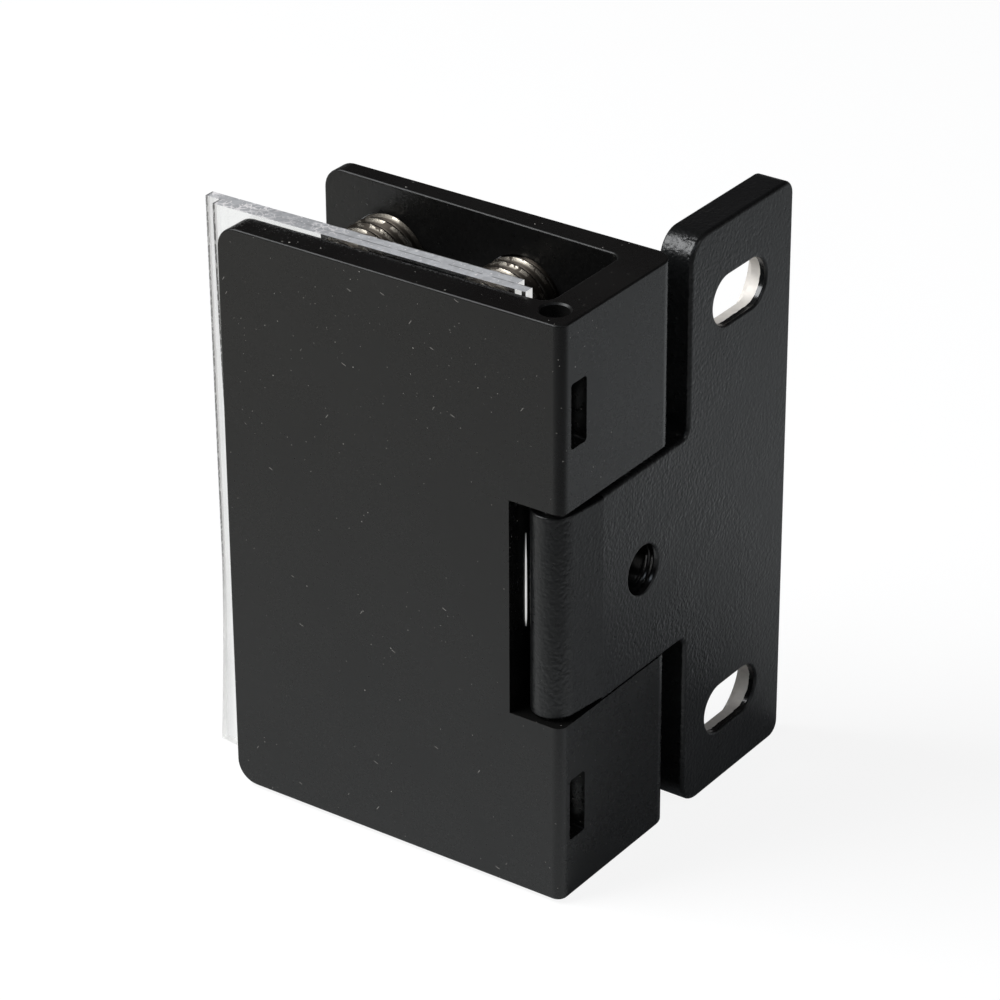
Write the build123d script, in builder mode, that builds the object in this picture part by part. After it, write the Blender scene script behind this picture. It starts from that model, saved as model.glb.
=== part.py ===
from build123d import *
from math import acos, atan2, cos, degrees, hypot, radians, sin, tan
import os

# A wall to glass door hinge that clamps a glass panel without drilling it.
# A cast U shaped clamp body swings about a pin that runs through the rolled
# knuckle of a T shaped wall plate. Millimetres, +Z up along the pin.
# Origin: middle of the wall plate's slot pattern, on its face against the wall.
# The wall lies towards +X, the glass towards -X, the front of the door is -Y.

# Clamp body
body_height = 90.0
body_width = 57.9
body_depth = 27.6
web = 6.0
front_tip = 4.4
front_root = 5.5
back_tip = 3.0
back_root = 4.4
root_radius = 2.0
corner_radius = 3.4
back_edge_radius = 3.0
front_edge_radius = 1.5
edge_softening = 0.3

# Pin and the notch that takes the knuckle
pin_radius = 2.1
pin_recess = 3.0
pin_chamfer = 0.4
pin_to_wall = 4.05
pin_to_side = 3.9
pin_to_front = 4.0
bore_chamfer = 0.25
running_clearance = 0.06
notch_height = 33.5
notch_width = 8.7
window_width = 3.7
window_height = 9.8
window_radius = 0.5

# Wall plate with its tongue and knuckle
plate_proud = 0.6
plate_width = 26.5
plate_thickness = 5.4
plate_gap = 3.5
plate_near_radius = 4.0
plate_far_radius = 2.3
plate_softening = 0.6
inner_softening = 0.4
tongue_radius = 1.5
tongue_gap_low = 0.1
tongue_gap_high = 0.9
knuckle_step = 0.45
knuckle_softening = 0.3
knuckle_wall = 1.2
knuckle_blend = 1.2
crease_from_pin = 5.85
hole_radius = 3.7
hole_from_plate = 11.1
slot_length = 13.8
slot_width = 7.6
slot_inset = 12.8
slot_from_end = 12.45
rim_softening = 0.4
slot_land = 2.6
head_margin = 4.0

# Clear gasket sheets
sheet_thickness = 1.6
sheet_lift = 0.5
sheet_proud = 0.5
sheet_overhang = 4.1
sheet_stagger = 2.7
sheet_to_web = 3.6

# Clamp screws
screw_radius = 6.95
screw_length = 18.5
thread_pitch = 2.0
thread_depth = 1.1
thread_flat = 0.3
tip_chamfer = 1.4
tip_gap = 0.05
screw_clearance = 0.05
screw_from_edge = 11.5
screw_from_web = 16.9
screw_from_end = 11.7
socket_across_flats = 5.0
socket_depth = 6.0

# Working allowances of the model: how far cuts overrun, how near counts as on a line
overrun = 1.0
near = 0.01

# Places worked out from the sizes
wall_x = 0.0
pin_x = wall_x - pin_to_wall
side_x = pin_x + pin_to_side
edge_x = side_x - body_width
web_x = side_x - web
plate_near_y = -slot_inset
plate_far_y = plate_near_y + plate_width
back_y = plate_near_y - plate_gap
front_y = back_y - body_depth
pin_y = front_y + pin_to_front
crease_y = pin_y + crease_from_pin
body_top = body_height / 2
plate_top = body_top + plate_proud
notch_top = notch_height / 2
tongue_bottom = -notch_top + tongue_gap_low
tongue_top = notch_top - tongue_gap_high
tongue_middle = (tongue_bottom + tongue_top) / 2
tongue_height = tongue_top - tongue_bottom
slot_z = plate_top - slot_from_end
knuckle_radius = pin_radius + running_clearance + knuckle_wall
knuckle_x = pin_x - knuckle_radius
inner_x = wall_x - plate_thickness
channel_depth = web_x - edge_x
front_slope = degrees(atan2(front_root - front_tip, channel_depth))


def jaw_face_y(x):
    """Height of the front jaw's drafted inner face, measured along Y at this X."""
    return front_y + front_tip + (x - edge_x) * tan(radians(front_slope))


# Clamp body: a U in plan, open to the glass, with drafted jaws
with BuildPart() as clamp_body:
    with BuildSketch(Plane.XY.offset(-body_top)) as plan:
        with BuildLine():
            Polyline(
                (edge_x, front_y),
                (side_x, front_y),
                (side_x, back_y),
                (edge_x, back_y),
                (edge_x, back_y - back_tip),
                (web_x, back_y - back_root),
                (web_x, front_y + front_root),
                (edge_x, front_y + front_tip),
                close=True,
            )
        make_face()
        roots = plan.vertices().filter_by(lambda v: abs(v.X - web_x) < near)
        fillet(roots, radius=root_radius)
        fillet(plan.vertices().group_by(Axis.X)[-1].sort_by(Axis.Y)[-1], radius=back_edge_radius)
        fillet(plan.vertices().group_by(Axis.X)[-1].sort_by(Axis.Y)[0], radius=front_edge_radius)
    extrude(amount=body_height)

    # Rounded corners of both jaws at their free edge, then every cast edge softened
    jaw_corners = clamp_body.edges().filter_by(Axis.Y).group_by(Axis.X)[0]
    fillet(jaw_corners, radius=corner_radius)
    ends = clamp_body.faces().sort_by(Axis.Z)
    broad = clamp_body.faces().sort_by(Axis.Y)
    cast_edges = ends[0].edges() + ends[-1].edges() + broad[0].edges() + broad[-1].edges()
    fillet(cast_edges, radius=edge_softening)

    # Notch for the knuckle and tongue, straight through front to back
    with BuildSketch(Plane.XZ.offset(-back_y)):
        with Locations((side_x, 0)):
            Rectangle(notch_width, notch_height, align=(Align.MAX, Align.CENTER))
    extrude(amount=body_depth, mode=Mode.SUBTRACT)

    # Pin bore through both blocks, broken by a window in each block's side
    with Locations((pin_x, pin_y, 0)):
        Hole(radius=pin_radius)
    mouths = clamp_body.edges().filter_by(GeomType.CIRCLE)
    mouths = mouths.filter_by(lambda e: abs(e.radius - pin_radius) < near)
    mouths = mouths.filter_by(lambda e: abs(e.center().Z) > body_top - near)
    chamfer(mouths, length=bore_chamfer)
    block_middle = (notch_top + body_top) / 2
    with BuildSketch(Plane.YZ.offset(pin_x)):
        with Locations((pin_y, block_middle), (pin_y, -block_middle)):
            RectangleRounded(window_width, window_height, window_radius)
    extrude(amount=pin_to_side, mode=Mode.SUBTRACT)

    # Screw holes through the back jaw
    with BuildSketch(Plane.XZ.offset(-back_y)):
        for screw_x in (edge_x + screw_from_edge, web_x - screw_from_web):
            for screw_z in (body_top - screw_from_end, screw_from_end - body_top):
                with Locations((screw_x, screw_z)):
                    Circle(screw_radius + screw_clearance)
    extrude(amount=back_root + overrun, mode=Mode.SUBTRACT)
clamp_body.part.label = "clamp_body"

# Where the flat facet from the crease runs tangent into the round knuckle
crease_angle = atan2(crease_from_pin, pin_to_wall)
facet_angle = crease_angle - acos(knuckle_radius / hypot(pin_to_wall, crease_from_pin))
facet_start = (pin_x + knuckle_radius * cos(facet_angle), pin_y + knuckle_radius * sin(facet_angle))

# Wall plate: its plan section cut to the T outline that is seen from the wall
with BuildPart() as wall_plate:
    with BuildSketch(Plane.XY.offset(-plate_top)) as section:
        with BuildLine():
            Polyline(
                (pin_x, pin_y),
                facet_start,
                (wall_x, crease_y),
                (wall_x, plate_far_y),
                (inner_x, plate_far_y),
                (inner_x, pin_y),
                close=True,
            )
        make_face()
        with Locations((pin_x, pin_y)):
            Circle(knuckle_radius)
        blend = section.vertices().filter_by(lambda v: abs(v.X - inner_x) < near).sort_by(Axis.Y)
        fillet(blend[0], radius=knuckle_blend)
    extrude(amount=2 * plate_top)
    with BuildSketch(Plane.YZ.offset(knuckle_x - overrun)) as outline:
        with Locations((plate_near_y, 0)):
            Rectangle(plate_width, 2 * plate_top, align=(Align.MIN, Align.CENTER))
        fillet(outline.vertices().group_by(Axis.X)[0], radius=plate_near_radius)
        fillet(outline.vertices().group_by(Axis.X)[-1], radius=plate_far_radius)
        with Locations((plate_near_y + tongue_radius, tongue_middle)):
            Rectangle(plate_near_y + tongue_radius - front_y, tongue_height, align=(Align.MAX, Align.CENTER))
        throats = outline.vertices().filter_by(lambda v: abs(v.X - plate_near_y) < near)
        throats = throats.filter_by(lambda v: abs(v.Y) < notch_top)
        fillet(throats, radius=tongue_radius)
    extrude(amount=wall_x - knuckle_x + 2 * overrun, mode=Mode.INTERSECT)

    # Knuckle ends faced back from the tongue as far as the crease
    with BuildSketch(Plane.YZ.offset(knuckle_x - overrun)):
        for end_z, side in ((tongue_top, Align.MAX), (tongue_bottom, Align.MIN)):
            with Locations((crease_y, end_z)):
                Rectangle(crease_y - front_y, knuckle_step, align=(Align.MAX, side))
    extrude(amount=wall_x - knuckle_x + 2 * overrun, mode=Mode.SUBTRACT)
    knuckle_ends = wall_plate.faces().filter_by(Axis.Z).filter_by(lambda f: f.center().Y < crease_y)
    rims = knuckle_ends.edges().filter_by(GeomType.CIRCLE)
    fillet(rims, radius=knuckle_softening)

    # Cast edges softened on both faces, the crease towards the knuckle left crisp
    outer_face = wall_plate.faces().filter_by(Axis.X).sort_by(Axis.X)[-1]
    fillet(outer_face.edges().filter_by(lambda e: e.center().Y > crease_y + near), radius=plate_softening)
    inner_face = wall_plate.faces().filter_by(Axis.X).sort_by(Axis.X)[0]
    fillet(inner_face.edges().filter_by(lambda e: e.center().Y > crease_y + near), radius=inner_softening)

    # Bore for the pin, fixing hole in the tongue, and the slots, opened out behind for screw heads
    with Locations((pin_x, pin_y, tongue_middle)):
        Hole(radius=pin_radius + running_clearance)
    with BuildSketch(Plane.YZ.offset(inner_x)):
        with Locations((plate_near_y - hole_from_plate, tongue_middle)):
            Circle(hole_radius)
        with Locations((0, slot_z), (0, -slot_z)):
            SlotOverall(slot_length, slot_width)
    extrude(amount=plate_thickness, mode=Mode.SUBTRACT)
    with BuildSketch(Plane.YZ.offset(inner_x)):
        with Locations((0, slot_z), (0, -slot_z)):
            SlotOverall(slot_length + 2 * head_margin, slot_width + 2 * head_margin)
    extrude(amount=plate_thickness - slot_land, mode=Mode.SUBTRACT)
    holes = wall_plate.faces().filter_by(Axis.X).sort_by(Axis.X)[-1].inner_wires()
    fillet(holes.edges(), radius=rim_softening)
wall_plate.part.label = "wall_plate"

# Hinge pin, pressed into both blocks and free in the knuckle
pin_length = body_height - 2 * pin_recess
with BuildPart() as hinge_pin:
    with BuildSketch(Plane(origin=(pin_x, pin_y, -pin_length / 2))):
        Circle(pin_radius)
    extrude(amount=pin_length)
    chamfer(hinge_pin.edges().filter_by(GeomType.CIRCLE), length=pin_chamfer)
hinge_pin.part.label = "hinge_pin"

# Gasket sheets, lying on the front jaw's inner face and on each other
sheet_length = (channel_depth + sheet_overhang - sheet_to_web) / cos(radians(front_slope))
sheet_height = body_height - sheet_lift + sheet_proud
sheet_plane = Plane(
    origin=(edge_x, jaw_face_y(edge_x), sheet_lift - body_top),
    x_dir=(cos(radians(front_slope)), sin(radians(front_slope)), 0),
    z_dir=(0, 0, 1),
)
with BuildPart() as gasket_front:
    with BuildSketch(sheet_plane):
        with Locations((-sheet_overhang, 0)):
            Rectangle(sheet_length, sheet_thickness, align=(Align.MIN, Align.MIN))
    extrude(amount=sheet_height)
gasket_front.part.label = "gasket_front"

with BuildPart() as gasket_rear:
    with BuildSketch(sheet_plane):
        with Locations((-sheet_overhang - sheet_stagger, sheet_thickness)):
            Rectangle(sheet_length, sheet_thickness, align=(Align.MIN, Align.MIN))
    extrude(amount=sheet_height)
gasket_rear.part.label = "gasket_rear"

os.makedirs("parts", exist_ok=True)
for piece in (clamp_body, wall_plate, hinge_pin, gasket_front, gasket_rear):
    export_step(piece.part, f"parts/{piece.part.label}.step")

# Clamp screws: the same screw at each corner, its tip against the rear gasket
valley_radius = screw_radius - thread_depth
tip_radius = screw_radius - tip_chamfer
stack = 2 * sheet_thickness / cos(radians(front_slope))
crests = int((screw_length - 2 * tip_chamfer) / thread_pitch)
screw_columns = {"edge": edge_x + screw_from_edge, "web": web_x - screw_from_web}
screw_rows = {"lower": screw_from_end - body_top, "upper": body_top - screw_from_end}
for row, screw_z in screw_rows.items():
    for column, screw_x in screw_columns.items():
        tip_y = jaw_face_y(screw_x + tip_radius) + stack + tip_gap
        points = [(0, 0), (tip_radius, 0)]
        for crest in range(crests):
            y = tip_chamfer + crest * thread_pitch
            points.append((screw_radius, y))
            points.append((screw_radius, y + thread_flat))
            points.append((valley_radius, y + thread_pitch / 2))
            points.append((valley_radius, y + thread_pitch / 2 + thread_flat))
        points.append((screw_radius, tip_chamfer + crests * thread_pitch))
        points.append((screw_radius, screw_length - thread_depth))
        points.append((valley_radius, screw_length))
        points.append((0, screw_length))
        with BuildPart() as screw:
            with BuildSketch(Plane(origin=(screw_x, tip_y, screw_z))):
                with BuildLine():
                    Polyline(*points, close=True)
                make_face()
            revolve(axis=Axis((screw_x, tip_y, screw_z), (0, 1, 0)))
            end = Plane(origin=(screw_x, tip_y + screw_length, screw_z), x_dir=(1, 0, 0), z_dir=(0, 1, 0))
            with BuildSketch(end):
                RegularPolygon(socket_across_flats / 2, 6, major_radius=False)
            extrude(amount=-socket_depth, mode=Mode.SUBTRACT)
        screw.part.label = f"clamp_screw_{row}_{column}"
        export_step(screw.part, f"parts/{screw.part.label}.step")
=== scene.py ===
from math import cos, pi, radians, sin

import bmesh
import bpy
from mathutils import Matrix, Vector


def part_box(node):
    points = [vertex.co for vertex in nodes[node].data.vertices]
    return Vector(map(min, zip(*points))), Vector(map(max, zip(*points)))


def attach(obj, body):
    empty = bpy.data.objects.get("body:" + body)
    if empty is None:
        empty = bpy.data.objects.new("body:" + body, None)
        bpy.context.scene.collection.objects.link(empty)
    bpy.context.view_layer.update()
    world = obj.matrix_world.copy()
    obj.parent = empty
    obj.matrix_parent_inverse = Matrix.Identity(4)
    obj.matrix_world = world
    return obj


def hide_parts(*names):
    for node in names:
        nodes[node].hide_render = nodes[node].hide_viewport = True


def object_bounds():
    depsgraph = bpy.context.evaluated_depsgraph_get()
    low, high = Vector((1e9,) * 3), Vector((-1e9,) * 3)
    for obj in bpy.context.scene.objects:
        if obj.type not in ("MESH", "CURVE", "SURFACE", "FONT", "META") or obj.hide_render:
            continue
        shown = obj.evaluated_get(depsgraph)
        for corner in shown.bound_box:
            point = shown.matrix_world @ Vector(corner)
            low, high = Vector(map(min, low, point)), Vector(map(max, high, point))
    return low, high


# Looks of a wall to glass door hinge: painted castings, bright clamp screws and clear gasket sheets.
# Metres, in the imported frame: the wall is towards +X, the glass towards -X, the front of the door -Y.
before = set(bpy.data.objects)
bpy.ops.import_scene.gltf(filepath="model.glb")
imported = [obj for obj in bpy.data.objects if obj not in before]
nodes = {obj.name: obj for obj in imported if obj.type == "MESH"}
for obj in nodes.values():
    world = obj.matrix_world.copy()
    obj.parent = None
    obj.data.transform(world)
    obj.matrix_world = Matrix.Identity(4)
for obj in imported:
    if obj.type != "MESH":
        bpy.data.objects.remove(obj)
cad_low, cad_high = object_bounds()
body_low, body_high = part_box("clamp_body")
plate_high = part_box("wall_plate")[1]

# Screw threads, with the socket at the driven end, where the plating is clean
THREAD_PITCH = 0.0020
THREAD_DEPTH = 0.0011
CREST_START = 0.875
ROOT_END = 0.25
TIP_CHAMFER = 0.0014
END_CHAMFER = 0.0011
SOCKET_FLATS = 0.0050
SOCKET_DEPTH = 0.0060
SOCKET_MOUTH = 0.00035
DRILL_POINT = 0.0009
STEPS_ROUND = 72
STEPS_PER_PITCH = 14
CLEAN_END = (-0.0040, -0.0025)

# Gasket sheets: the rear one leans a little towards the web and its free lower corner curls forward
# and up; the front one's free edge runs off towards the web lower down
SHEET_STEPS_LONG = 66
SHEET_STEPS_HIGH = 112
SHEET_HEIGHT = 0.090
REAR_LEAN = (0.00035, 0.00075)
REAR_CURL_FORWARD = 0.0019
REAR_CURL_UP = 0.0024
CURL_TOP = 0.033
CURL_SHARE = 0.12
FRONT_SLANT = (0.0001, 0.0030)

# Lip: a lens of the front sheet, squeezed out into the notch between the casting and the knuckle, whose lens
# faces carry a painted glow
NOTCH_TO_SIDE = 0.0087
LIP_THICKNESS = 0.00012
LIP_MIDDLE = 0.0015
LIP_HALF = 0.00014
LIP_GAP = 0.00002
LIP_STEPS = 24

# Finishes of a sheet's faces, in the order of its materials
BROAD, CUT, LIT, FREE = range(4)

# Where those finishes change: heights, of which LIT_TOP counts from the top, then places along X
LIT_LEVELS = (-0.0047, -0.0035, 0.0060, 0.0100)
LIT_TOP = (-0.004, -0.002)
EDGE_LINE_FADE = (-0.024, -0.008)
VEINS = (-0.046, -0.036)
SEAM = (-0.052, -0.040)
REAR_ALONE = (-0.0632, -0.0624)
REAR_TO_FRONT = (-0.0640, -0.0626)

SHARP_ANGLE = radians(40)

# Regions of the casting: walls of the glass channel with the rough cast skin, and the upper rim
FRONT_JAW = 0.0040
BACK_JAW = 0.0026
WEB = 0.0055
RIM = 0.0008

# Regions of the wall plate: the slots, painted at their mouths and bare deeper in, and the hole
PAINT_REACH = 0.0011
SLOT_REACH = 0.0112
SLOT_LEVELS = (0.0250, 0.0413)
HOLE_MIDDLE = (-0.02435, -0.0004)
HOLE_REACH = 0.0042
HOLE_RING = 0.0010
HOLE_RINGS_FROM = (-0.0027, -0.0018)
CALM_SIDE = (0.024, 0.004)

# Dust: cells with one speck or fibre at most, and where it lies thicker or is wiped off the top
DUST_CELL = 0.0011
FIBRE_CELL = 0.0014
FIBRE_TURNS = (0.6, -1.2)
DUSTY_LEVELS = (-0.020, 0.040)
WIPED_LEVELS = (-0.0010, -0.0003)

# Colours, linear
PAINT = (0.0045, 0.0044, 0.0042, 1)
PAINT_WORN = (0.0064, 0.0063, 0.0060, 1)
GRAIN_PAINT = (0.0066, 0.0070, 0.0072, 1)
CAST_PAINT = (0.0045, 0.0044, 0.0043, 1)
DUST = (0.42, 0.40, 0.37, 1)
CHROME = (0.30, 0.275, 0.235, 1)
# Chrome darkened both by stain patches and by painted shade in the thread's roots and the socket
CHROME_STAIN_AND_SHADE = (0.035, 0.030, 0.025, 1)
BARE = (0.74, 0.70, 0.65, 1)
STEEL = (0.55, 0.55, 0.54, 1)
STEEL_OILED = (0.05, 0.048, 0.045, 1)
CLEAR = (0.93, 0.935, 0.93, 1)
CLEAR_DULL = (0.73, 0.735, 0.73, 1)
CUT_GREY = (0.58, 0.585, 0.60, 1)
CUT_DULL = (0.26, 0.26, 0.27, 1)
CUT_PALE = (0.86, 0.83, 0.83, 1)
# White of the sheets' sawn ends, and also the colour of their painted glow
CUT_WHITE_AND_GLOW = (0.90, 0.90, 0.88, 1)
# Dark of the seam between the sheets, and of the painted shade line along their free edges
CUT_DARK_JOINT_AND_SHADE = (0.05, 0.05, 0.045, 1)
# Pale of the sheets' free edges, and also the colour of their painted glow
FREE_EDGE_AND_GLOW = (0.87, 0.87, 0.86, 1)
FLOOR_SEEN = (0.90, 0.90, 0.90, 1)
# Floor colours seen only by glossy rays: painted shade, darker than the foot towards the front, the back and
# the right
FLOOR_FRONT_SHADE = (0.575, 0.562, 0.525, 1)
FLOOR_FOOT = (0.855, 0.87, 0.87, 1)
FLOOR_BACK_SHADE = (0.68, 0.70, 0.705, 1)
FLOOR_RIGHT_SHADE = (0.30, 0.30, 0.30, 1)


# Node helpers
class Shader:
    """One node material, with short calls that add a node and join it to what feeds it."""

    def __init__(self, name):
        self.material = bpy.data.materials.new(name)
        self.material.use_nodes = True
        self.tree = self.material.node_tree
        self.bsdf = self.tree.nodes["Principled BSDF"]
        self.place = self.add("ShaderNodeTexCoord").outputs["Object"]

    def add(self, kind, inputs=None, **settings):
        node = self.tree.nodes.new(kind)
        for key, value in settings.items():
            setattr(node, key, value)
        for key, value in (inputs or {}).items():
            self.feed(node.inputs[key], value)
        return node

    def feed(self, socket, value):
        if isinstance(value, bpy.types.NodeSocket):
            self.tree.links.new(value, socket)
        else:
            socket.default_value = value

    def set(self, **values):
        for key, value in values.items():
            self.feed(self.bsdf.inputs[key.replace("_", " ")], value)

    def math(self, operation, a, b=0.0):
        return self.add("ShaderNodeMath", {0: a, 1: b}, operation=operation).outputs[0]

    def spread(self, value, low, high, to_low=0.0, to_high=1.0):
        inputs = {"Value": value, "From Min": low, "From Max": high, "To Min": to_low, "To Max": to_high}
        return self.add("ShaderNodeMapRange", inputs).outputs["Result"]

    def mix(self, factor, a, b):
        node = self.add("ShaderNodeMix", data_type="RGBA")
        for socket, value in ((node.inputs[0], factor), (node.inputs[6], a), (node.inputs[7], b)):
            self.feed(socket, value)
        return node.outputs[2]

    def noise(self, size, detail=2.0, roughness=0.5, place=None):
        inputs = {"Vector": place or self.place, "Scale": 1 / size, "Detail": detail, "Roughness": roughness}
        return self.add("ShaderNodeTexNoise", inputs).outputs["Fac"]

    def cells(self, size, place=None, **settings):
        inputs = {"Vector": place or self.place, "Scale": 1 / size}
        return self.add("ShaderNodeTexVoronoi", inputs, **settings).outputs

    def stretched(self, lengths, turn=(0.0, 0.0, 0.0)):
        """Coordinates in which a pattern comes out this many times longer along each turned axis."""
        inputs = {"Vector": self.place, "Scale": lengths, "Rotation": turn}
        return self.add("ShaderNodeMapping", inputs, vector_type="TEXTURE").outputs["Vector"]

    def bump(self, height, depth, strength=1.0, normal=None):
        node = self.add("ShaderNodeBump", {"Height": height, "Distance": depth, "Strength": strength})
        if normal is not None:
            self.feed(node.inputs["Normal"], normal)
        return node.outputs["Normal"]

    def axis(self, name):
        return self.add("ShaderNodeSeparateXYZ", {"Vector": self.place}).outputs[name]

    def attribute(self, name):
        return self.add("ShaderNodeAttribute", attribute_name=name).outputs["Fac"]

    def shaken(self, size, reach):
        """Coordinates shaken to and fro by noise, in which straight marks come out crooked."""
        noise = self.add("ShaderNodeTexNoise", {"Vector": self.place, "Scale": 1 / size}).outputs["Color"]
        inputs = {"Vector": noise, "Location": (-reach / 2,) * 3, "Scale": (reach,) * 3}
        shift = self.add("ShaderNodeMapping", inputs).outputs["Vector"]
        return self.add("ShaderNodeVectorMath", {0: self.place, 1: shift}, operation="ADD").outputs[0]


def flecks(shader, size, crowd, smallest, largest, place=None):
    """Sparse marks, one at most in each cell: round ones, or short fibres in stretched coordinates."""
    specks = shader.cells(size, place)
    chance = shader.add("ShaderNodeSeparateColor", {"Color": specks["Color"]}).outputs
    kept = shader.math("LESS_THAN", chance[0], crowd)
    radius = shader.spread(chance[1], 0.0, 1.0, smallest, largest)
    return shader.math("MULTIPLY", shader.math("LESS_THAN", specks["Distance"], radius), kept)


def dust_mask(shader):
    """Pale specks of dust, thicker in places and higher up, with a few short fibres."""
    crowd = shader.spread(shader.noise(0.030, 1.0), 0.40, 0.60, 0.25, 0.80)
    level = shader.axis("Z")
    crowd = shader.math("MULTIPLY", crowd, shader.spread(level, *DUSTY_LEVELS, 0.6, 1.4))
    wiped_from, wiped_to = (body_high.z + reach for reach in WIPED_LEVELS)
    crowd = shader.math("MULTIPLY", crowd, shader.spread(level, wiped_from, wiped_to, 1.0, 0.4))
    mask = flecks(shader, DUST_CELL, crowd, 0.04, 0.12)
    for turn in FIBRE_TURNS:
        along = shader.stretched((1.0, 1.0, 8.0), (0.0, turn, 0.0))
        fibres = flecks(shader, FIBRE_CELL, 0.6, 0.026, 0.045, along)
        mask = shader.math("MAXIMUM", mask, shader.math("MULTIPLY", fibres, 0.6))
    return mask


def darkened(colour, share):
    """A colour at this share of its brightness."""
    return tuple(share * c for c in colour[:3]) + (1,)


# Materials
def satin_paint(name, dullness=0.0):
    """Smooth satin paint of the casting's outside, with faint smudges and dust."""
    shader = Shader(name)
    smudge = shader.noise(0.022, 3.0, 0.6)
    mottle = shader.noise(0.0007, 2.0)
    dust = dust_mask(shader)
    base = shader.mix(shader.spread(smudge, 0.35, 0.68), PAINT, PAINT_WORN)
    shader.set(Base_Color=shader.mix(shader.math("MULTIPLY", dust, 0.8), base, DUST))
    broad = shader.spread(smudge, 0.3, 0.7, 0.22 + dullness, 0.32 + dullness)
    rough = shader.math("ADD", broad, shader.spread(mottle, 0.3, 0.7, -0.03, 0.03))
    shader.set(Roughness=shader.math("ADD", rough, shader.math("MULTIPLY", dust, 0.3)))
    shader.set(Specular_IOR_Level=0.36 - dullness)
    peel = shader.bump(shader.noise(0.0016, 1.0), 0.000012, 0.35)
    shader.set(Normal=shader.bump(mottle, 0.000004, 0.35, peel))
    return shader.material


def grained_paint(name, grain=0.00050, depth=0.00012, base=GRAIN_PAINT, calm_side=None):
    """Paint with an orange peel skin, its dimples drawn out and broken by smoother patches."""
    shader = Shader(name)
    cells = shader.cells(grain, feature="SMOOTH_F1", distance="EUCLIDEAN")["Distance"]
    waves = shader.noise(grain * 1.25, 2.0, 0.45)
    calm = shader.spread(shader.noise(0.011, 2.0), 0.35, 0.65, 0.45, 1.0)
    if calm_side is not None:
        across = shader.axis("Y")
        calm = shader.math("MULTIPLY", calm, shader.spread(across, *calm_side, 1.0, 0.4))
    height = shader.math("MULTIPLY", shader.math("ADD", shader.math("MULTIPLY", cells, 0.6), waves), calm)
    shade = shader.spread(shader.noise(0.016, 3.0), 0.3, 0.7)
    shader.set(Base_Color=shader.mix(shade, darkened(base, 0.82), base))
    shader.set(Roughness=shader.spread(waves, 0.3, 0.7, 0.27, 0.37), Specular_IOR_Level=0.36)
    shader.set(Normal=shader.bump(height, depth))
    return shader.material


def hole_wall():
    """Wall of the tongue's hole: wet looking black paint over the rings left by the drill."""
    shader = Shader("hole_wall")
    depth = shader.axis("X")
    waves = shader.math("SINE", shader.math("MULTIPLY", depth, 2 * pi / HOLE_RING))
    rings = shader.math("MULTIPLY", waves, shader.spread(depth, *HOLE_RINGS_FROM))
    drips = shader.noise(0.0030, 1.0)
    shader.set(Base_Color=CAST_PAINT, Roughness=shader.spread(drips, 0.3, 0.7, 0.15, 0.23))
    shader.set(Normal=shader.bump(rings, 0.00009))
    return shader.material


def slot_wall():
    """Walls of the plate's slots: paint at the mouth, then bare metal left by the cutter."""
    shader = Shader("slot_wall")
    depth = shader.axis("X")
    ragged = shader.spread(shader.noise(0.0011, 2.0), 0.3, 0.7, -0.00008, 0.00008)
    bare = shader.math("LESS_THAN", shader.math("ADD", depth, ragged), -PAINT_REACH)
    streaks = shader.noise(0.0009, 3.0, place=shader.stretched((3.0, 1.0, 1.0)))
    metal = shader.mix(shader.spread(streaks, 0.35, 0.7), BARE, darkened(BARE, 0.88))
    shader.set(Base_Color=shader.mix(bare, GRAIN_PAINT, metal), Metallic=shader.math("MULTIPLY", bare, 0.2))
    shader.set(Roughness=shader.math("ADD", 0.2, shader.math("MULTIPLY", bare, 0.4)), Specular_IOR_Level=0.5)
    shader.set(Normal=shader.bump(streaks, 0.00001, 0.4))
    return shader.material


def bright_plating():
    """Bright plating of the screws, broken by brown stain patches, with painted shade in the roots of the
    thread and deep in the socket.
    """
    shader = Shader("screw_chrome")
    root = shader.attribute("root")
    patches = shader.spread(shader.noise(0.0014, 2.0), 0.48, 0.52)
    clean_from, clean_to = (body_high.y + reach for reach in CLEAN_END)
    clean_end = shader.spread(shader.axis("Y"), clean_from, clean_to, 1.0, 0.3)
    patches = shader.math("MULTIPLY", patches, clean_end)
    # Stain patches, and painted shade where the root value is high: in the thread's roots and deep in the
    # socket
    dull = shader.math("MAXIMUM", patches, shader.spread(root, 0.15, 0.5))
    shader.set(Base_Color=shader.mix(dull, CHROME, CHROME_STAIN_AND_SHADE), Metallic=1.0)
    streaks = shader.noise(0.0003, 3.0, place=shader.stretched((1.0, 0.17, 1.0)))
    rough = shader.spread(streaks, 0.3, 0.7, 0.18, 0.28)
    shader.set(Roughness=shader.math("ADD", rough, shader.math("MULTIPLY", dull, 0.12)))
    shader.set(Normal=shader.bump(streaks, 0.000006, 0.5))
    return shader.material


def dark_steel():
    """Plain steel of the pin, with fine marks along it and dark patches of an oil film."""
    shader = Shader("pin_steel")
    marks = shader.noise(0.0003, 3.0, place=shader.stretched((1.0, 1.0, 12.0)))
    film = shader.spread(shader.noise(0.0030, 2.0), 0.4, 0.6)
    shader.set(Base_Color=shader.mix(film, STEEL, STEEL_OILED), Metallic=1.0)
    shader.set(Roughness=shader.spread(marks, 0.3, 0.7, 0.15, 0.35))
    shader.set(Normal=shader.bump(marks, 0.00002, 0.7))
    return shader.material


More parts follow.
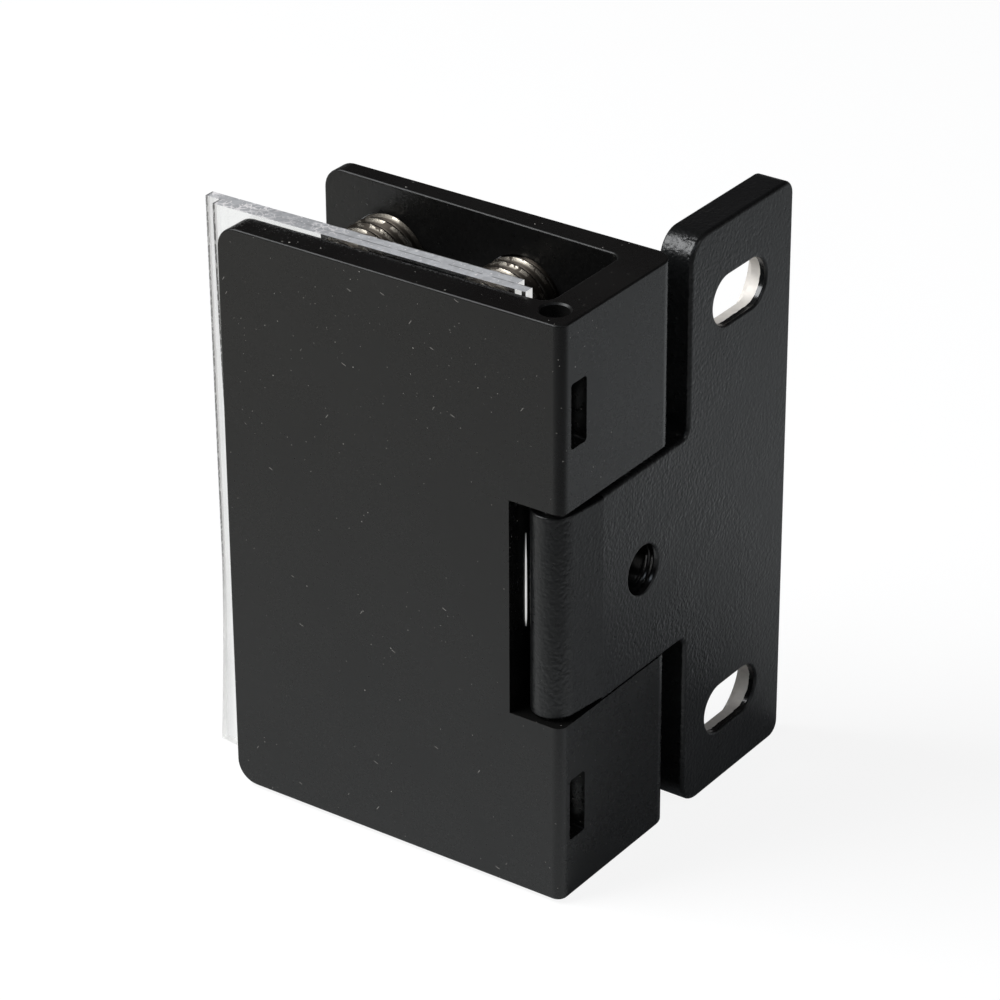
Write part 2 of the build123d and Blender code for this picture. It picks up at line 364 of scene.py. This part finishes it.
def clear_sheet():
    """Broad faces of the gasket sheets: clear soft plastic, hazier where the rear sheet lies alone."""
    shader = Shader("clear_gasket")
    haze = shader.noise(0.010, 3.0)
    alone = shader.spread(shader.axis("X"), *REAR_ALONE, 1.0, 0.0)
    dull = shader.math("MULTIPLY", alone, shader.spread(haze, 0.3, 0.7, 0.6, 1.0))
    shader.set(Base_Color=shader.mix(dull, CLEAR, CLEAR_DULL), Transmission_Weight=1.0, IOR=1.46)
    shader.set(Roughness=shader.spread(haze, 0.3, 0.7, 0.0, 0.05))
    shader.set(Normal=shader.bump(shader.noise(0.006, 2.0), 0.00002, 0.3))
    return shader.material


def cut_edge():
    """Top edges of the gasket sheets: frosted, with crooked pale marks left by the blade."""
    shader = Shader("gasket_cut_edge")
    veins = shader.cells(0.0013, shader.shaken(0.0012, 0.0011), feature="DISTANCE_TO_EDGE")["Distance"]
    towards_free = shader.spread(shader.axis("X"), *VEINS, 1.0, 0.0)
    present = shader.math("MULTIPLY", shader.spread(shader.noise(0.0035, 1.0), 0.42, 0.56), towards_free)
    vein = shader.math("MULTIPLY", shader.spread(veins, 0.02, 0.11, 1.0, 0.0), present)
    ticks = shader.spread(shader.noise(0.0005, 1.0), 0.64, 0.70)
    marks = shader.math("MAXIMUM", vein, ticks)
    across = shader.attribute("across")
    parted = shader.math("MULTIPLY", shader.spread(shader.noise(0.0016, 2.0), 0.36, 0.46), 0.85)
    parted = shader.math("MULTIPLY", parted, shader.spread(shader.axis("X"), *SEAM))
    seam = shader.math("MULTIPLY", shader.spread(across, 0.88, 0.94), parted)
    free = shader.attribute("free")
    # The dark seam between the sheets, and painted shade running on from the free edge's dark line
    dark = shader.math("MAXIMUM", seam, shader.spread(free, 0.5, 0.8, 0.0, 0.7))
    shade = shader.noise(0.0009, 3.0)
    ground = shader.mix(shader.spread(shade, 0.35, 0.65), darkened(CUT_GREY, 0.80), CUT_GREY)
    ground = shader.mix(shader.math("MULTIPLY", towards_free, 0.4), ground, CUT_DULL)
    marked = shader.mix(marks, ground, CUT_PALE)
    shader.set(Base_Color=shader.mix(dark, marked, CUT_DARK_JOINT_AND_SHADE), IOR=1.46)
    shader.set(Roughness=shader.spread(shade, 0.3, 0.7, 0.30, 0.55), Transmission_Weight=0.25)
    shader.set(Normal=shader.bump(marks, 0.00005, 0.6))
    return shader.material


def lit_end():
    """Ends of the sheets beside the web: white saw marks, with a painted glow where light carried in the
    sheet gets out.
    """
    shader = Shader("gasket_lit_end")
    level = shader.axis("Z")
    saw = shader.noise(0.0003, 2.0, place=shader.stretched((1.0, 1.0, 20.0)))
    low, low_full, high_full, high = LIT_LEVELS
    rising = shader.spread(level, low, low_full)
    window = shader.math("MULTIPLY", rising, shader.spread(level, high_full, high, 1.0, 0.0))
    top_from, top_to = (cad_high.z + reach for reach in LIT_TOP)
    lit = shader.math("MAXIMUM", window, shader.spread(level, top_from, top_to))
    shader.set(Base_Color=CUT_WHITE_AND_GLOW, Roughness=0.5, IOR=1.46)
    # Painted glow, in a band of heights and along the top
    shader.set(Emission_Color=CUT_WHITE_AND_GLOW)
    shader.set(Emission_Strength=shader.math("MULTIPLY", lit, shader.spread(saw, 0.3, 0.7, 0.45, 0.75)))
    shader.set(Normal=shader.bump(saw, 0.00004, 0.6))
    return shader.material


def dark_edge():
    """Free and bottom edges of the sheets: pale with a painted glow, and a dotted dark line of painted shade
    that fades low down.
    """
    shader = Shader("gasket_dark_edge")
    across = shader.attribute("across")
    dots = shader.spread(shader.noise(0.0006, 2.0), 0.52, 0.58)
    fading = shader.spread(shader.axis("Z"), *EDGE_LINE_FADE)
    on_front = shader.spread(shader.axis("X"), *REAR_TO_FRONT, 0.7, 0.85)
    line = shader.math("MULTIPLY", shader.spread(across, 0.40, 0.65, 1.0, 0.0), fading)
    line = shader.math("MULTIPLY", line, on_front)
    dark = shader.math("MULTIPLY", line, shader.math("SUBTRACT", 1.0, shader.math("MULTIPLY", dots, 0.5)))
    shader.set(Base_Color=shader.mix(dark, FREE_EDGE_AND_GLOW, CUT_DARK_JOINT_AND_SHADE), IOR=1.46, Roughness=0.4)
    # Painted glow on the pale edge, fading out under the dark line
    shader.set(Emission_Color=FREE_EDGE_AND_GLOW, Emission_Strength=shader.spread(dark, 0.0, 1.0, 0.62, 0.0))
    return shader.material


def finish_mesh(mesh, materials):
    """Make a piece of this mesh, smoothly shaded with crisp corners above SHARP_ANGLE."""
    for material in materials:
        mesh.materials.append(material)
    for polygon in mesh.polygons:
        polygon.use_smooth = True
    mesh.set_sharp_from_angle(angle=SHARP_ANGLE)
    piece = bpy.data.objects.new(mesh.name, mesh)
    bpy.context.scene.collection.objects.link(piece)
    return piece


# Clamp screws: a real helical thread, a flat point and a hexagon socket
def thread_level(step):
    """Height on the thread's profile, 0 in the root and 1 on the crest."""
    rise = abs(2 * (step % STEPS_PER_PITCH) / STEPS_PER_PITCH - 1)
    return min(max((rise - ROOT_END) / (CREST_START - ROOT_END), 0.0), 1.0)


def hexagon(angle):
    """Distance from the axis to the socket's wall at this angle."""
    return SOCKET_FLATS / 2 / cos((angle % (pi / 3)) - pi / 6)


def build_screw(node, material):
    """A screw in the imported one's box, its point at the front and its socket at the back."""
    low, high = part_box(node)
    middle = (low + high) / 2
    crest = (high.x - low.x) / 2
    length = high.y - low.y
    root = crest - THREAD_DEPTH

    mesh = bpy.data.meshes.new(node + "_thread")
    grid = bmesh.new()
    depth = grid.verts.layers.float.new("root")

    # Each point's last value is its share of painted shade in the plating: 1 in the thread's root and deep
    # in the socket, 0 on the crests
    def ring_point(radius, y, angle, dull):
        point = grid.verts.new((middle.x + radius * cos(angle), low.y + y, middle.z + radius * sin(angle)))
        point[depth] = dull
        return point

    def skin(rings):
        for lower, upper in zip(rings, rings[1:]):
            for a, b, c, d in zip(lower, lower[1:], upper[1:], upper):
                grid.faces.new((a, d, c, b))

    angles = [2 * pi * step / STEPS_ROUND for step in range(STEPS_ROUND + 1)]
    threaded = []
    for step in range(-STEPS_PER_PITCH, int(length / THREAD_PITCH + 1) * STEPS_PER_PITCH + 1):
        level = thread_level(step)
        ring = []
        for angle in angles:
            y = min(max((step / STEPS_PER_PITCH + angle / (2 * pi)) * THREAD_PITCH, 0.0), length)
            cone = min(crest - TIP_CHAMFER + y, crest - END_CHAMFER + (length - y))
            radius = min(root + THREAD_DEPTH * level, cone)
            ring.append(ring_point(radius, y, angle, 1.0 - level))
        threaded.append(ring)
    skin(threaded)

    tip = [
        [ring_point(0.00001, 0.0, a, 0.3) for a in angles],
        [ring_point(crest - TIP_CHAMFER, 0.0, a, 0.0) for a in angles],
    ]
    skin(tip)
    socket = [
        [ring_point(crest - END_CHAMFER, length, a, 0.0) for a in angles],
        [ring_point(hexagon(a) + SOCKET_MOUTH, length, a, 0.0) for a in angles],
        [ring_point(hexagon(a), length - SOCKET_MOUTH, a, 0.4) for a in angles],
        [ring_point(hexagon(a), length - SOCKET_DEPTH, a, 0.9) for a in angles],
        [ring_point(0.00001, length - SOCKET_DEPTH - DRILL_POINT, a, 1.0) for a in angles],
    ]
    skin(socket)
    bmesh.ops.remove_doubles(grid, verts=grid.verts, dist=0.00002)
    bmesh.ops.dissolve_degenerate(grid, edges=grid.edges, dist=0.000002)
    bmesh.ops.recalc_face_normals(grid, faces=grid.faces)
    grid.to_mesh(mesh)
    grid.free()
    screw = finish_mesh(mesh, [material])
    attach(screw, node + "_body")
    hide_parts(node)


# Gasket sheets: clear slabs with frosted cut edges
def front_shape(along, height):
    """How far the front sheet stands off its plain slab: its free edge runs off towards the web."""
    top, foot = FRONT_SLANT
    fallen = 1 - height / SHEET_HEIGHT
    return Vector(((top + (foot - top) * fallen ** 1.5) * (1 - along), 0, 0))


def rear_shape(along, height):
    """How far the rear sheet stands off its plain slab: a lean towards the web and a curled corner."""
    top, foot = REAR_LEAN
    lean = foot + (top - foot) * height / SHEET_HEIGHT
    curl = max(1 - along / CURL_SHARE, 0.0) * max(1 - height / CURL_TOP, 0.0) ** 1.5
    return Vector((lean, -REAR_CURL_FORWARD * curl, REAR_CURL_UP * curl))


def add_lip(slab, corner):
    """A thin lens of the soft sheet, squeezed out round the jaw's edge into the notch for the knuckle, its
    lens faces in the lit ends' painted glow.
    """
    inner = body_high.x - NOTCH_TO_SIDE + LIP_GAP
    outer = inner + LIP_THICKNESS
    behind = corner.y + LIP_GAP
    low, high = LIT_LEVELS[0], LIT_LEVELS[-1]
    rings = []
    for step in range(LIP_STEPS + 1):
        share = step / LIP_STEPS
        z = low + share * (high - low)
        middle = behind - LIP_MIDDLE
        half = LIP_HALF * sin(pi * share ** 0.6) + LIP_GAP
        outline = (
            (corner.x, behind + LIP_THICKNESS),
            (outer, behind + LIP_THICKNESS),
            (outer, middle + half),
            (outer, middle - half),
            (inner, middle - half),
            (inner, middle + half),
            (inner, behind),
            (corner.x, behind),
        )
        rings.append([slab.verts.new((x, y, z)) for x, y in outline])
    for lower, upper in zip(rings, rings[1:]):
        sides = zip(lower, lower[1:] + lower[:1], upper[1:] + upper[:1], upper)
        for number, side in enumerate(sides):
            slab.faces.new(side).material_index = LIT if number in (2, 3, 4) else BROAD
    for end in (rings[0], rings[-1]):
        slab.faces.new(end)


def build_gasket(node, shape, materials):
    """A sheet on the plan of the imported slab, moved off it by shape, in fine steps that can bend."""
    corners = sorted({(round(v.co.x, 6), round(v.co.y, 6)) for v in nodes[node].data.vertices})
    low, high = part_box(node)
    left_front, left_rear = sorted((Vector(c) for c in corners[:2]), key=lambda c: c.y)
    right_front, right_rear = sorted((Vector(c) for c in corners[-2:]), key=lambda c: c.y)

    def place(along, across, up):
        """A point of the slab: along from the free edge, across from its front face, up from its foot."""
        front = left_front.lerp(right_front, along)
        rear = left_rear.lerp(right_rear, along)
        plan = front.lerp(rear, across)
        height = up * (high.z - low.z)
        return Vector((plan.x, plan.y, low.z + height)) + shape(along, height)

    mesh = bpy.data.meshes.new(node + "_sheet")
    slab = bmesh.new()
    depth = slab.verts.layers.float.new("across")
    end = slab.verts.layers.float.new("free")
    points = {}
    for i in range(SHEET_STEPS_LONG + 1):
        for k in range(SHEET_STEPS_HIGH + 1):
            for side in (0, 1):
                spot = place(i / SHEET_STEPS_LONG, side, k / SHEET_STEPS_HIGH)
                points[i, side, k] = slab.verts.new(spot)
                points[i, side, k][depth] = side
                points[i, side, k][end] = float(i == 0)
    for i in range(SHEET_STEPS_LONG):
        for k in range(SHEET_STEPS_HIGH):
            slab.faces.new([points[c] for c in ((i, 0, k), (i + 1, 0, k), (i + 1, 0, k + 1), (i, 0, k + 1))])
            slab.faces.new([points[c] for c in ((i, 1, k), (i, 1, k + 1), (i + 1, 1, k + 1), (i + 1, 1, k))])
    for i in range(SHEET_STEPS_LONG):
        for k, finish in ((0, FREE), (SHEET_STEPS_HIGH, CUT)):
            loop = ((i, 0, k), (i, 1, k), (i + 1, 1, k), (i + 1, 0, k))
            slab.faces.new([points[c] for c in loop]).material_index = finish
    for k in range(SHEET_STEPS_HIGH):
        for i, finish in ((0, FREE), (SHEET_STEPS_LONG, LIT)):
            loop = ((i, 0, k), (i, 0, k + 1), (i, 1, k + 1), (i, 1, k))
            slab.faces.new([points[c] for c in loop]).material_index = finish
    if node == "gasket_front":
        add_lip(slab, right_front)
    bmesh.ops.recalc_face_normals(slab, faces=slab.faces)
    slab.to_mesh(mesh)
    slab.free()
    sheet = finish_mesh(mesh, materials)
    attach(sheet, "door_side")
    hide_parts(node)


def dress(node, *materials):
    """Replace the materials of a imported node, whose mesh stays as it is."""
    mesh = nodes[node].data
    mesh.materials.clear()
    for material in materials:
        mesh.materials.append(material)


# Casting: smooth outside, rough in the channel, and a duller rim along its top edges
cast_paint = grained_paint("cast_black", depth=0.000035, base=CAST_PAINT)
dress("clamp_body", satin_paint("satin_black"), cast_paint, satin_paint("satin_black_rim", 0.12))
for polygon in nodes["clamp_body"].data.polygons:
    middle, lift = polygon.center, polygon.normal.z
    between_jaws = body_low.y + FRONT_JAW < middle.y < body_high.y - BACK_JAW
    if between_jaws and middle.x < body_high.x - WEB and abs(lift) < 0.5:
        polygon.material_index = 1
    elif middle.z > body_high.z - RIM and 0.1 < lift < 0.98:
        polygon.material_index = 2

# Wall plate: grained all over, with bare metal in the slots and wet looking paint in the hole
calm_side = tuple(plate_high.y - reach for reach in CALM_SIDE)
dress("wall_plate", grained_paint("grained_black", calm_side=calm_side), slot_wall(), hole_wall())
for polygon in nodes["wall_plate"].data.polygons:
    middle = polygon.center
    beside_slot = abs(middle.y) < SLOT_REACH and SLOT_LEVELS[0] < abs(middle.z) < SLOT_LEVELS[1]
    from_hole = Vector((middle.y - HOLE_MIDDLE[0], middle.z - HOLE_MIDDLE[1])).length
    if beside_slot and abs(polygon.normal.x) < 0.1:
        polygon.material_index = 1
    elif from_hole < HOLE_REACH and abs(polygon.normal.x) < 0.5:
        polygon.material_index = 2

dress("hinge_pin", dark_steel())
plating = bright_plating()
for row in ("lower", "upper"):
    for column in ("edge", "web"):
        build_screw(f"clamp_screw_{row}_{column}", plating)
sheet_materials = [clear_sheet(), cut_edge(), lit_end(), dark_edge()]
build_gasket("gasket_front", front_shape, sheet_materials)
build_gasket("gasket_rear", rear_shape, sheet_materials)


# Floor, light and camera. Glossy rays see a floor with painted shade, darker than at the foot towards the
# front, the back and most towards the right, and camera rays one that is nearly white all over
FLOOR_HALF = 3.0
FLOOR_DROP = 0.0001
FLOOR_GLOW = 0.85
FLOOR_GLOW_STRENGTH = 1.04
FLOOR_FRONT_TO_FOOT = (-0.34, 0.0)
FLOOR_FOOT_TO_BACK = (0.06, 0.26)
FLOOR_TO_RIGHT = (0.08, 0.17)

# Height in the world's dome, and its colour there
WORLD_LEVELS = (0.0, 0.17)
WORLD_COLOURS = ((0.42, 0.42, 0.42, 1), (0.025, 0.021, 0.022, 1))

# Each lamp's direction from the object, distance, size, watts and colour
SOFTBOXES = {
    "key": ((-0.52, -0.47, 0.71), 0.9, 0.6, 12.0, (0.97, 0.985, 1.0)),
    "side": ((0.85, 0.10, 0.45), 1.0, 0.5, 1.2, (0.96, 0.98, 1.0)),
    "glint": ((0.46, -0.44, 0.69), 1.0, 0.3, 0.8, (0.80, 0.90, 1.0)),
}

# The photograph's view, found by fitting a camera to the straight edges seen in it
CAMERA_PLACE = (0.27749, -0.45018, 0.28421)
CAMERA_AZIMUTH = radians(35.310)
CAMERA_ELEVATION = radians(28.279)
CAMERA_ROLL = radians(-0.318)
CAMERA_LENS = 150.417
CAMERA_SENSOR = 36


def build_floor():
    """A pale floor that shows as near white and keeps a soft shadow."""
    mesh = bpy.data.meshes.new("floor")
    z = cad_low.z - FLOOR_DROP
    turns = ((-1, -1), (1, -1), (1, 1), (-1, 1))
    mesh.from_pydata([(x * FLOOR_HALF, y * FLOOR_HALF, z) for x, y in turns], [], [(0, 1, 2, 3)])
    floor = bpy.data.objects.new("floor", mesh)
    bpy.context.scene.collection.objects.link(floor)
    shader = Shader("floor_white")
    # For glossy rays the floor's colour is painted shade, darkest towards the right
    backwards = shader.math("ADD", shader.axis("X"), shader.axis("Y"))
    rightwards = shader.math("SUBTRACT", shader.axis("X"), shader.axis("Y"))
    near = shader.mix(shader.spread(backwards, *FLOOR_FRONT_TO_FOOT), FLOOR_FRONT_SHADE, FLOOR_FOOT)
    lit = shader.mix(shader.spread(backwards, *FLOOR_FOOT_TO_BACK), near, FLOOR_BACK_SHADE)
    shaded = shader.mix(shader.spread(rightwards, *FLOOR_TO_RIGHT), lit, FLOOR_RIGHT_SHADE)
    rays = shader.add("ShaderNodeLightPath").outputs
    seen = shader.math("MAXIMUM", rays["Is Camera Ray"], rays["Is Transmission Ray"])
    shader.set(Base_Color=shader.mix(seen, shaded, FLOOR_SEEN), Roughness=0.9, Specular_IOR_Level=0.0)
    white = {"Color": (1, 1, 1, 1), "Strength": FLOOR_GLOW_STRENGTH}
    glow = shader.add("ShaderNodeEmission", white).outputs[0]
    share = shader.math("MULTIPLY", seen, FLOOR_GLOW)
    both = shader.add("ShaderNodeMixShader", {0: share, 1: shader.bsdf.outputs[0], 2: glow}).outputs[0]
    shader.feed(shader.tree.nodes["Material Output"].inputs["Surface"], both)
    mesh.materials.append(shader.material)


def softbox(name, direction, distance, size, power, colour):
    """A square area lamp at this direction from the object, turned to face it."""
    lamp = bpy.data.lights.new(name, "AREA")
    lamp.shape = "SQUARE"
    lamp.size = size
    lamp.energy = power
    lamp.color = colour
    holder = bpy.data.objects.new(name, lamp)
    bpy.context.scene.collection.objects.link(holder)
    towards = Vector(direction).normalized()
    holder.location = (cad_low + cad_high) / 2 + towards * distance
    holder.rotation_euler = towards.to_track_quat("Z", "Y").to_euler()


def build_world():
    """Dim studio, a little paler round the horizon, with white behind what the camera sees."""
    world = bpy.data.worlds.new("studio")
    bpy.context.scene.world = world
    world.use_nodes = True
    tree = world.node_tree
    place = tree.nodes.new("ShaderNodeTexCoord")
    split = tree.nodes.new("ShaderNodeSeparateXYZ")
    ramp = tree.nodes.new("ShaderNodeValToRGB")
    ramp.color_ramp.elements[0].position, ramp.color_ramp.elements[1].position = WORLD_LEVELS
    ramp.color_ramp.elements[0].color, ramp.color_ramp.elements[1].color = WORLD_COLOURS
    rays = tree.nodes.new("ShaderNodeLightPath")
    white = tree.nodes.new("ShaderNodeMix")
    white.data_type = "RGBA"
    white.inputs[7].default_value = (1, 1, 1, 1)
    tree.links.new(place.outputs["Generated"], split.inputs[0])
    tree.links.new(split.outputs["Z"], ramp.inputs[0])
    tree.links.new(rays.outputs["Is Camera Ray"], white.inputs[0])
    tree.links.new(ramp.outputs[0], white.inputs[6])
    tree.links.new(white.outputs[2], tree.nodes["Background"].inputs["Color"])


def build_camera():
    """The photograph's camera, from the fitted place, direction and roll."""
    level = Vector((cos(CAMERA_AZIMUTH), sin(CAMERA_AZIMUTH), 0))
    outwards = Vector((sin(CAMERA_AZIMUTH), -cos(CAMERA_AZIMUTH), 0))
    back = cos(CAMERA_ELEVATION) * outwards + sin(CAMERA_ELEVATION) * Vector((0, 0, 1))
    right = cos(CAMERA_ROLL) * level + sin(CAMERA_ROLL) * back.cross(level)
    up = back.cross(right)
    data = bpy.data.cameras.new("photograph")
    data.sensor_width = CAMERA_SENSOR
    data.lens = CAMERA_LENS
    data.clip_start = 0.01
    data.clip_end = 20
    camera = bpy.data.objects.new("photograph", data)
    bpy.context.scene.collection.objects.link(camera)
    turn = Matrix((right, up, back)).transposed().to_4x4()
    camera.matrix_world = Matrix.Translation(CAMERA_PLACE) @ turn
    bpy.context.scene.camera = camera


build_floor()
build_world()
for name, settings in SOFTBOXES.items():
    softbox(name, *settings)
build_camera()
bpy.context.scene.view_settings.view_transform = "Standard"
